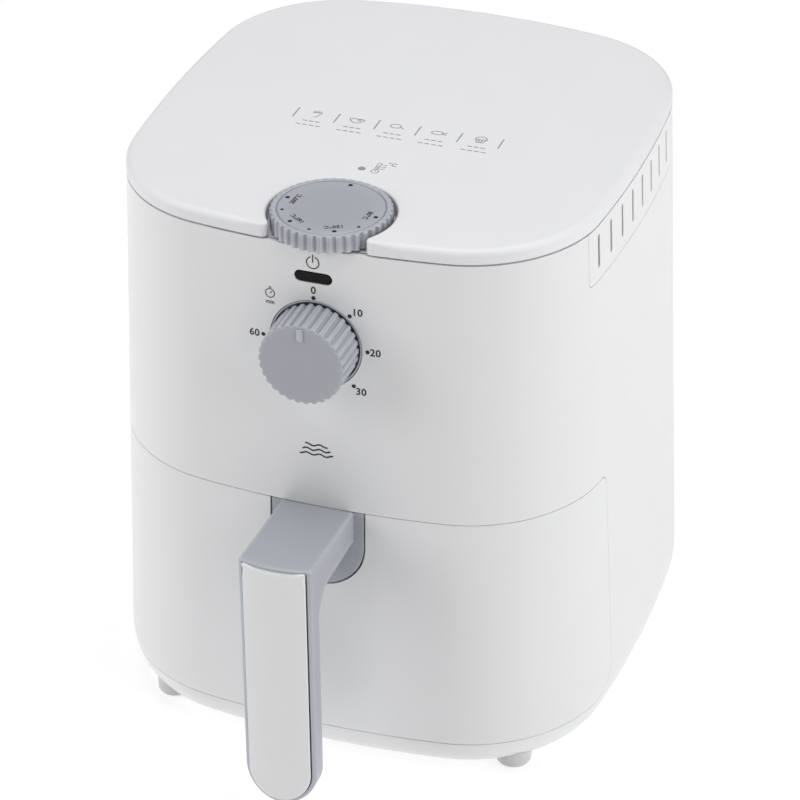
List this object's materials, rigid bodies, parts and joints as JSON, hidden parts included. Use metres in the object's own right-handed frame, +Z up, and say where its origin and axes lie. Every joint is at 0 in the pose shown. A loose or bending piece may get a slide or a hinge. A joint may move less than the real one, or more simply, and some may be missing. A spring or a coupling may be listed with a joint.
{
  "type": "air fryer",
  "caption": "Compact air fryer: drafted rounded-square housing with pull-out drawer and handle, timer knob, temperature dial, heater, fan and motor.",
  "frame": {"origin": "middle of the whole footprint, handle included, on the surface that the feet stand on", "axes": "+Z up, -Y towards the front with the handle and controls, +X to the right seen from the front"},
  "size_m": [0.2748, 0.3412, 0.317],
  "materials": {
    "white_gloss": "smooth moulded, satin gloss",
    "lid_satin": "fine satin",
    "white_inner": "plain moulded",
    "feet_plastic": "plain moulded",
    "grey_satin": "satin",
    "black_lens": "glossy",
    "zinc_steel": "zinc coated sheet",
    "bright_steel": "bright",
    "heater_sheath": "oxidised sheath",
    "fan_aluminium": "pressed",
    "fan_plastic": "moulded",
    "motor_steel": "laminated stack",
    "ivory_plastic": "moulded",
    "red_plastic": "moulded",
    "copper": "drawn tube",
    "lamp_amber": "clear lamp",
    "wire_insulation": "silicone sleeve",
    "non_stick": "non-stick coating",
    "silicone": "moulded"
  },
  "bodies": {
    "housing": {"body_shell": "white_gloss", "top_cover": "lid_satin", "base_cover": "white_inner", "feet": "feet_plastic", "base_screws": "bright_steel", "lid_screws": "bright_steel", "vent_grille_right": "white_gloss", "vent_grille_left": "white_gloss", "rear_vent_grille": "white_gloss", "cord_gland": "feet_plastic", "front_frame": "white_inner", "partition_plate": "white_inner", "chamber_liner": "zinc_steel", "drawer_rail_right": "zinc_steel", "drawer_rail_left": "zinc_steel", "heater_hood": "zinc_steel", "heating_element": "heater_sheath", "element_clips": "bright_steel", "element_guard": "bright_steel", "exhaust_duct": "zinc_steel", "motor": "motor_steel", "motor_bracket": "zinc_steel", "motor_screws": "bright_steel", "timer_unit": "ivory_plastic", "timer_bell": "zinc_steel", "timer_seat": "grey_satin", "control_bracket": "zinc_steel", "thermostat_unit": "ivory_plastic", "temperature_sensor": "copper", "power_lamp_lens": "black_lens", "power_lamp": "lamp_amber", "thermal_fuse": "zinc_steel", "terminal_block": "ivory_plastic", "wiring": "wire_insulation", "door_switch": "ivory_plastic", "switch_spring": "bright_steel"},
    "drawer": {"drawer_front": "white_gloss", "drawer_inner_panel": "white_inner", "pan": "non_stick", "pan_bracket": "zinc_steel", "handle_frame": "grey_satin", "handle_insert": "white_gloss", "handle_screws": "bright_steel"},
    "crisper": {"crisper_plate": "non_stick", "plate_bumpers": "silicone"},
    "timer_control": {"timer_knob": "grey_satin", "timer_shaft": "bright_steel"},
    "temperature_control": {"temperature_dial": "grey_satin", "thermostat_shaft": "bright_steel"},
    "fan_rotor": {"hot_air_fan": "fan_aluminium", "cooling_fan": "fan_plastic", "motor_shaft": "bright_steel"},
    "plunger": {"switch_plunger": "red_plastic"}
  },
  "joints": [
    {"name": "drawer_slide", "type": "slide", "parent": "housing", "child": "drawer", "axis": [0, -1, 0], "range_m": [0, 0.26]},
    {"name": "plate_lift", "type": "slide", "parent": "drawer", "child": "crisper", "axis": [0, 0, 1], "range_m": [0, 0.1]},
    {"name": "timer_turn", "type": "hinge", "parent": "housing", "child": "timer_control", "pos_m": [0, -0.10156, 0.253], "axis": [0, 1, 0], "range_deg": [0, 270]},
    {"name": "dial_turn", "type": "hinge", "parent": "housing", "child": "temperature_control", "pos_m": [0, -0.07686, 0.309], "axis": [0, 0, 1], "range_deg": [0, 270]},
    {"name": "fan_spin", "type": "hinge", "parent": "housing", "child": "fan_rotor", "pos_m": [0, 0.01644, 0.224], "axis": [0, 0, 1], "continuous": true},
    {"name": "plunger_press", "type": "slide", "parent": "housing", "child": "plunger", "axis": [0, 1, 0], "range_m": [0, 0.0015], "stiffness_N_per_m": 200}
  ]
}
